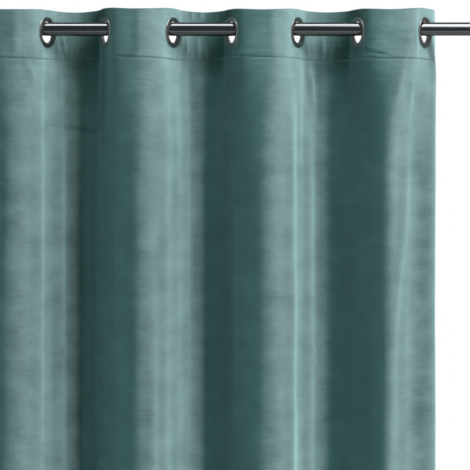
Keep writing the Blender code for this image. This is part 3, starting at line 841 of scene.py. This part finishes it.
def ground_material(colours):
    """Woven ground of the velvet, seen from behind: a dull plain weave without pile. The real
    threads are 0.3 mm apart, drawn here at 2.4 mm so that the weave shows."""
    material, tree, shader = new_material("Velvet woven ground")
    place = add_node(tree, "ShaderNodeUVMap", {"uv_map": "Cloth"})
    warp, weft = (
        add_node(tree, "ShaderNodeTexWave",
                 {"wave_type": "BANDS", "bands_direction": way, "Distortion": 1.0, "Detail": 1.0,
                  "Scale": 1 / (GROUND_PITCH * WAVE_BANDS)},
                 {"Vector": place.outputs["UV"]}) for way in "XY")
    weave = add_node(tree, "ShaderNodeMath", {"operation": "MULTIPLY"},
                     {0: warp.outputs["Fac"], 1: weft.outputs["Fac"]})
    between, on_threads = shaded(colours.ground), shaded(colours.ground, 1.35)
    colour = add_node(tree, "ShaderNodeMix", {"data_type": "RGBA", 6: between, 7: on_threads},
                      {0: weave.outputs[0]})
    bump = add_node(tree, "ShaderNodeBump", {"Strength": 0.3, "Distance": 0.0003},
                    {"Height": weave.outputs[0]})
    set_node(tree, shader, {"Roughness": 0.9, "Specular IOR Level": 0.2},
             {"Base Color": colour.outputs[2], "Normal": bump.outputs[0]})
    return material


def thread_material(colours):
    """Spun polyester thread: a soft gleam broken by the twist of its two plies."""
    material, tree, shader = new_material("Spun polyester thread")
    place = add_node(tree, "ShaderNodeTexCoord")
    twist = add_node(tree, "ShaderNodeTexNoise", {"Scale": 1 / THREAD_TWIST, "Detail": 1.0},
                     {"Vector": place.outputs["Object"]})
    dark, bright = shaded(colours.thread, 0.7), shaded(colours.thread)
    colour = add_node(tree, "ShaderNodeMix", {"data_type": "RGBA", 6: dark, 7: bright},
                      {0: twist.outputs[0]})
    set_node(tree, shader, {"Roughness": 0.6, "Sheen Weight": 0.3},
             {"Base Color": colour.outputs[2]})
    return material


def plated_material(name, colour, plating):
    """Plated metal with a faint pattern on it, a little paler and duller than the rest."""
    material, tree, shader = new_material(name)
    place = add_node(tree, "ShaderNodeTexCoord")
    stretch = add_node(tree, "ShaderNodeMapping", {"Scale": [1 / size for size in plating.size]},
                       {"Vector": place.outputs["Object"]})
    pattern = add_node(tree, "ShaderNodeTexNoise",
                       {"Scale": 1.0, "Detail": plating.detail, "Roughness": plating.coarseness},
                       {"Vector": stretch.outputs[0]})
    rough = add_node(tree, "ShaderNodeMapRange",
                     {"From Min": 0.3, "From Max": 0.7,
                      "To Min": plating.smooth, "To Max": plating.rough},
                     {"Value": pattern.outputs[0]})
    dark, pale = shaded(colour, plating.dark), shaded(colour)
    tone = add_node(tree, "ShaderNodeMix", {"data_type": "RGBA", 6: dark, 7: pale},
                    {0: pattern.outputs[0]})
    set_node(tree, shader, {"Metallic": 1.0},
             {"Base Color": tone.outputs[2], "Roughness": rough.outputs[0]})
    if plating.relief:
        bump = add_node(tree, "ShaderNodeBump", {"Strength": plating.relief, "Distance": 0.0002},
                        {"Height": pattern.outputs[0]})
        tree.links.new(bump.outputs[0], shader.inputs["Normal"])
    return material


def eyelet_material(colours):
    """Nickel plate on pressed brass: bright and smooth, with faint clouds of wear from the rod and
    from fingers."""
    return plated_material("Gunmetal nickel plate", colours.nickel, EYELET_PLATE)


def rod_material(colours):
    """Black nickel plate on drawn steel tube: a dark mirror with fine lines drawn along it. The
    real lines are finer, drawn here 1.2 mm wide so that they show."""
    return plated_material("Polished black nickel", colours.rod_metal, ROD_PLATE)


def floor_material():
    """Matt white studio floor paint with a faint roller texture."""
    material, tree, shader = new_material("Matt floor paint")
    place = add_node(tree, "ShaderNodeTexCoord")
    roller = add_node(tree, "ShaderNodeTexNoise", {"Scale": 1 / ROLLER_SIZE, "Detail": 2.0},
                      {"Vector": place.outputs["Object"]})
    bump = add_node(tree, "ShaderNodeBump", {"Strength": 0.05, "Distance": 0.001},
                    {"Height": roller.outputs[0]})
    set_node(tree, shader, {"Base Color": shaded(linear("#d4d4d2")), "Roughness": 0.8},
             {"Normal": bump.outputs[0]})
    return material


def material_for(name, maker):
    """A material that is made once and then shared."""
    return bpy.data.materials.get(name) or maker(bpy.context.scene.curtain_colours)


def finish_piece(piece, slot, *nodes):
    """Hangs a finished piece on the curtain's one body, in place of its solids."""
    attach(piece, "root")
    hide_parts(*nodes)


class CURTAIN_OT_hang_panel(bpy.types.Operator):
    """Hangs the velvet panel below the seam, with its side hems and foot hem"""
    bl_idname = "curtain.hang_panel"
    bl_label = "Hang the panel"

    def execute(self, context):
        sizes = context.scene.curtain_sizes
        columns = column_places(PANEL_COLUMN)
        points = panel_grid(columns)
        panel = sheet_object("velvet_panel", points, columns)
        hems = panel.vertex_groups.new(name="hems")
        hems.add(np.flatnonzero(in_hem(columns, points[:, :, 2])).tolist(), 1.0, "REPLACE")
        panel.data.materials.append(material_for("Teal velvet pile", velvet_material))
        panel.data.materials.append(material_for("Velvet woven ground", ground_material))
        thicken(panel, sizes.heading_thickness, sizes.panel_thickness / sizes.heading_thickness)
        turn_pile_out(panel)
        finish_piece(panel, "velvet", "curtain_panel")
        stitches = self.sew_hems(points, columns, sizes)
        return {"FINISHED"}

    @staticmethod
    def sew_hems(points, columns, sizes):
        """Rows of stitches along the inner edges of both side hems and of the foot hem."""
        rows = np.arange(len(points), dtype=float)
        inset = (SIDE_HEM_WIDTH - ROW_INSET) / (columns[1] - columns[0])
        sides = [np.full_like(rows, place) for place in (inset, len(columns) - 1 - inset)]
        foot_row = np.interp(-(FOOT_HEIGHT + FOOT_HEM_DEPTH - ROW_INSET), -points[:, 0, 2], rows)
        across = np.arange(len(columns), dtype=float)
        across = across[(across > inset) & (across < len(columns) - 1 - inset)]
        places = [(rows, side) for side in sides] + [(np.full_like(across, foot_row), across)]
        lines = [stitch_places(points, *place, sizes.stitch_length) for place in places]
        return sew("hem_stitches", lines, sizes.heading_thickness, sizes)


class CURTAIN_OT_sew_heading(bpy.types.Operator):
    """Sews the doubled heading and punches a hole in it for each eyelet"""
    bl_idname = "curtain.sew_heading"
    bl_label = "Sew the heading"

    def execute(self, context):
        sizes = context.scene.curtain_sizes
        columns = column_places(HEADING_COLUMN)
        points = heading_grid(columns)
        heading = sheet_object("velvet_heading", points, columns)
        heading.data.materials.append(material_for("Teal velvet pile", velvet_material))
        thicken(heading, sizes.heading_thickness)
        punch_holes(heading)
        finish_piece(heading, "velvet", "heading")
        across = np.arange(len(columns), dtype=float)
        seam_row = np.full_like(across, len(points) - 1)
        seam = stitch_places(points, seam_row, across, sizes.stitch_length)
        stitches = sew("seam_stitches", [seam], sizes.heading_thickness, sizes)
        return {"FINISHED"}


def eyelet_frame(index):
    """Matrix of an eyelet: its axis is the cloth's own direction through the rod, local Z."""
    point, way = (part[0] for part in crossing_at(index, np.array([0.0])))
    across, front = (way[0], way[1], 0.0), (way[1], -way[0], 0.0)
    turned = Matrix((across, (0.0, 0.0, 1.0), front)).transposed().to_4x4()
    return Matrix.Translation((point[0], point[1], -EYELET_DROP)) @ turned


def punch_holes(heading):
    """Cuts the round holes that the eyelets' barrels go through."""
    punches = []
    for index in range(len(CROSSINGS)):
        bpy.ops.mesh.primitive_cylinder_add(
            vertices=HOLE_SIDES, radius=HOLE_RADIUS, depth=PUNCH_DEPTH)
        punches.append(bpy.context.active_object)
        punches[-1].data.transform(eyelet_frame(index))
    bpy.ops.object.select_all(action="DESELECT")
    for punch in punches:
        punch.select_set(True)
    bpy.ops.object.join()
    punch = bpy.context.active_object
    hole = heading.modifiers.new("Hole", "BOOLEAN")
    hole.operation = "DIFFERENCE"
    hole.solver = "EXACT"
    hole.object = punch
    apply_modifiers(heading)
    bpy.data.objects.remove(punch)


def turn_ring(name, profile, sides):
    """Ring made by drawing out a circle of edges along a closed profile of radius and height."""
    bpy.ops.object.select_all(action="DESELECT")
    radius, height = profile[0]
    bpy.ops.mesh.primitive_circle_add(vertices=sides, radius=radius, location=(0, 0, height))
    ring = bpy.context.active_object
    ring.name = ring.data.name = name
    bpy.ops.object.transform_apply(location=True)
    bpy.ops.object.mode_set(mode="EDIT")
    bpy.ops.mesh.select_all(action="SELECT")
    for after_radius, after_height in profile[1:]:
        bpy.ops.mesh.extrude_edges_move(
            TRANSFORM_OT_translate={"value": (0, 0, after_height - height)})
        if abs(after_radius - radius) > 1e-9:
            bpy.ops.transform.resize(value=(after_radius / radius, after_radius / radius, 1),
                                     center_override=(0, 0, after_height))
        radius, height = after_radius, after_height
    bpy.ops.mesh.select_all(action="DESELECT")
    bpy.ops.mesh.select_non_manifold()
    bpy.ops.mesh.bridge_edge_loops()
    bpy.ops.mesh.select_all(action="SELECT")
    bpy.ops.mesh.normals_make_consistent(inside=False)
    bpy.ops.object.mode_set(mode="OBJECT")
    return ring


def arc(centre, radius, start, end, steps):
    """Profile points on an arc, between two angles in degrees."""
    angles = [math.radians(blend(start, end, step / steps)) for step in range(steps + 1)]
    return [(centre[0] + radius * math.cos(angle), centre[1] + radius * math.sin(angle))
            for angle in angles]


def ring_profile():
    """Front ring with its barrel: a domed flange, a rolled throat and the lip behind the washer."""
    throat = EYELET_THROAT / 2
    rim = EYELET_DIAMETER / 2
    cloth = DOUBLED_THICKNESS / 2 + GAP
    crest = cloth + FLANGE_RISE
    lip = cloth + WASHER_THICKNESS + GAP
    edge, roll = RIM_ROUNDING, THROAT_ROLL
    outside = arc((rim - edge, cloth + edge), edge, 0, RIM_TURN, 4)
    dome_start = rim - edge * DOME_INSET
    dome = [(blend(dome_start, throat + roll, share), crest - DOME_FALL * (1 - share) ** 2)
            for share in (0.25, 0.5, 0.75)]
    throat_roll = arc((throat + roll, crest - roll), roll, 90, 180, 7)
    back = throat + BARREL_FLARE
    back_roll = arc((back + ROLLED_LIP, -lip + ROLLED_LIP * LIP_DROP), ROLLED_LIP, 180, 265, 5)
    behind = [(back + BARREL_WALL + ROLLED_LIP, -lip - ROLLED_LIP * LIP_TAIL),
              (back + BARREL_WALL + ROLLED_LIP, -lip)]
    inside = [(back + BARREL_WALL, -lip), (throat + BARREL_WALL, cloth),
              (rim - edge * FOOT_INSET, cloth)]
    return outside + dome + throat_roll + back_roll + behind + inside


def washer_profile():
    """Back washer: a flat ring with a turned-down rim that bites the cloth."""
    inner = HOLE_RADIUS
    rim = WASHER_DIAMETER / 2
    cloth = -DOUBLED_THICKNESS / 2 - GAP
    back = cloth - WASHER_THICKNESS
    edge = WASHER_ROUNDING
    return ([(inner, cloth), (inner, back)] + arc((rim - edge, back + edge), edge, 270, 360, 4)
            + [(rim, cloth)])


class CURTAIN_OT_set_eyelets(bpy.types.Operator):
    """Sets a front ring and a back washer at each hole of the heading"""
    bl_idname = "curtain.set_eyelets"
    bl_label = "Set the eyelets"

    def execute(self, context):
        sides = context.scene.curtain_sizes.ring_sides
        metal = material_for("Gunmetal nickel plate", eyelet_material)
        for part, profile in (("front", ring_profile()), ("washer", washer_profile())):
            pattern = turn_ring(f"eyelet_{part}_pattern", profile, sides)
            for index in range(len(CROSSINGS)):
                ring = new_object(f"nickel_{part}_{index + 1}", pattern.data.copy())
                ring.data.name = ring.name
                ring.data.transform(eyelet_frame(index))
                ring.data.materials.append(metal)
                only(ring)
                bpy.ops.object.shade_smooth_by_angle(angle=SHARP_ANGLE)
                finish_piece(ring, "eyelet_metal", f"eyelet_{part}_{index + 1}")
            bpy.data.objects.remove(pattern)
        return {"FINISHED"}


class CURTAIN_OT_fit_rod(bpy.types.Operator):
    """Fits the round rod that the eyelets hang on"""
    bl_idname = "curtain.fit_rod"
    bl_label = "Fit the rod"

    def execute(self, context):
        bpy.ops.object.select_all(action="DESELECT")
        bpy.ops.mesh.primitive_cylinder_add(
            vertices=context.scene.curtain_sizes.rod_sides, radius=ROD_DIAMETER / 2,
            depth=ROD_LENGTH, rotation=(0, math.radians(90), 0))
        rod = context.active_object
        rod.name = rod.data.name = "nickel_rod"
        bpy.ops.object.transform_apply(location=True, rotation=True)
        round_edges(rod, "Rounded ends", ROD_END_ROUNDING, 4)
        apply_modifiers(rod)
        bpy.ops.object.shade_smooth_by_angle(angle=SHARP_ANGLE)
        rod.data.materials.append(material_for("Polished black nickel", rod_material))
        finish_piece(rod, "rod_metal", "rod")
        return {"FINISHED"}


def add_light(light, power):
    """Soft light that faces the cloth. Its power grows with the square of its distance, so it can
    be moved out without a loss of light."""
    lamp_data = bpy.data.lights.new(light.name, "AREA")
    lamp_data.shape = "RECTANGLE"
    lamp_data.size, lamp_data.size_y = light.width, light.height
    lamp_data.spread = math.radians(light.spread)
    lamp_data.energy = power * light.share * light.distance**2
    lamp = new_object(light.name, lamp_data)
    lamp.visible_diffuse = light.on_cloth
    lamp.visible_camera = False
    side, up = math.radians(light.side), math.radians(light.up)
    way = Vector((math.sin(side) * math.cos(up), -math.cos(side) * math.cos(up), math.sin(up)))
    lamp.location = Vector((0.0, 0.0, light.aim)) + way * light.distance
    lamp.rotation_euler = way.to_track_quat("Z", "Y").to_euler()


class CURTAIN_OT_set_stage(bpy.types.Operator):
    """Sets the pale floor, the soft lights, the white surroundings and the camera"""
    bl_idname = "curtain.set_stage"
    bl_label = "Set the stage"

    def execute(self, context):
        stage = context.scene.curtain_stage
        bpy.ops.object.select_all(action="DESELECT")
        bpy.ops.mesh.primitive_plane_add(
            size=FLOOR_SIZE, location=(0, 0, FOOT_HEIGHT - FLOOR_CLEARANCE))
        floor = context.active_object
        floor.name = floor.data.name = "floor"
        floor.data.materials.append(floor_material())
        for light in LIGHTS:
            add_light(light, stage.light_power)
        self.surround(context.scene, stage.room_gleam)
        self.add_camera(context.scene, stage.camera_distance)
        context.scene.view_settings.view_transform = "Standard"
        return {"FINISHED"}

    @staticmethod
    def surround(scene, room_gleam):
        """White behind everything, a little grey light from all round, and more for the metal."""
        world = bpy.data.worlds.new("Studio")
        scene.world = world
        world.use_nodes = True
        tree = world.node_tree
        room = set_node(tree, tree.nodes["Background"], {"Color": ROOM_GREY, "Strength": ROOM_GLOW})
        path = add_node(tree, "ShaderNodeLightPath")
        for ray, colour, strength in (("Is Glossy Ray", ROOM_GREY, room_gleam),
                                      ("Is Camera Ray", (1, 1, 1, 1), 1.0)):
            backdrop = add_node(
                tree, "ShaderNodeBackground", {"Color": colour, "Strength": strength})
            room = add_node(
                tree, "ShaderNodeMixShader", None,
                {0: path.outputs[ray], 1: room.outputs[0], 2: backdrop.outputs[0]})
        tree.links.new(room.outputs[0], tree.nodes["World Output"].inputs["Surface"])

    @staticmethod
    def add_camera(scene, distance):
        """Camera level with the middle of the photograph, as wide as it at the rod."""
        camera_data = bpy.data.cameras.new("camera")
        camera_data.lens = camera_data.sensor_width * distance / (PHOTO_WIDTH * PHOTO_PIXEL)
        camera = new_object("camera", camera_data)
        camera.location = (PHOTO_CENTRE[0], -distance, PHOTO_CENTRE[1])
        camera.rotation_euler = (math.radians(90), 0, 0)
        scene.camera = camera


class CURTAIN_PT_tools(bpy.types.Panel):
    """Lists the curtain's operators"""
    bl_label = "Velvet Eyelet Curtain"
    bl_space_type = "VIEW_3D"
    bl_region_type = "UI"
    bl_category = "Curtain"

    def draw(self, context):
        for operator in OPERATORS:
            self.layout.operator(operator.bl_idname)
        for name in PROPERTY_GROUPS:
            group = getattr(context.scene, name)
            for prop in group.bl_rna.properties:
                if prop.identifier not in ("name", "rna_type"):
                    self.layout.prop(group, prop.identifier)


PROPERTY_GROUPS = {
    "curtain_sizes": CurtainSizes,
    "curtain_colours": CurtainColours,
    "curtain_stage": StageSizes,
}
OPERATORS = (
    CURTAIN_OT_hang_panel,
    CURTAIN_OT_sew_heading,
    CURTAIN_OT_set_eyelets,
    CURTAIN_OT_fit_rod,
    CURTAIN_OT_set_stage,
)


def register():
    """Makes the operators, the panel and the properties known."""
    for kind in (*PROPERTY_GROUPS.values(), *OPERATORS, CURTAIN_PT_tools):
        bpy.utils.register_class(kind)
    for name, kind in PROPERTY_GROUPS.items():
        setattr(bpy.types.Scene, name, PointerProperty(type=kind))


def unregister():
    """Takes them away again, in the opposite order."""
    for name in PROPERTY_GROUPS:
        delattr(bpy.types.Scene, name)
    for kind in (CURTAIN_PT_tools, *reversed(OPERATORS), *PROPERTY_GROUPS.values()):
        bpy.utils.unregister_class(kind)


def main():
    """Builds the curtain and its stage."""
    register()
    bpy.ops.curtain.hang_panel()
    bpy.ops.curtain.sew_heading()
    bpy.ops.curtain.set_eyelets()
    bpy.ops.curtain.fit_rod()
    bpy.ops.curtain.set_stage()


if __name__ == "__main__":
    main()
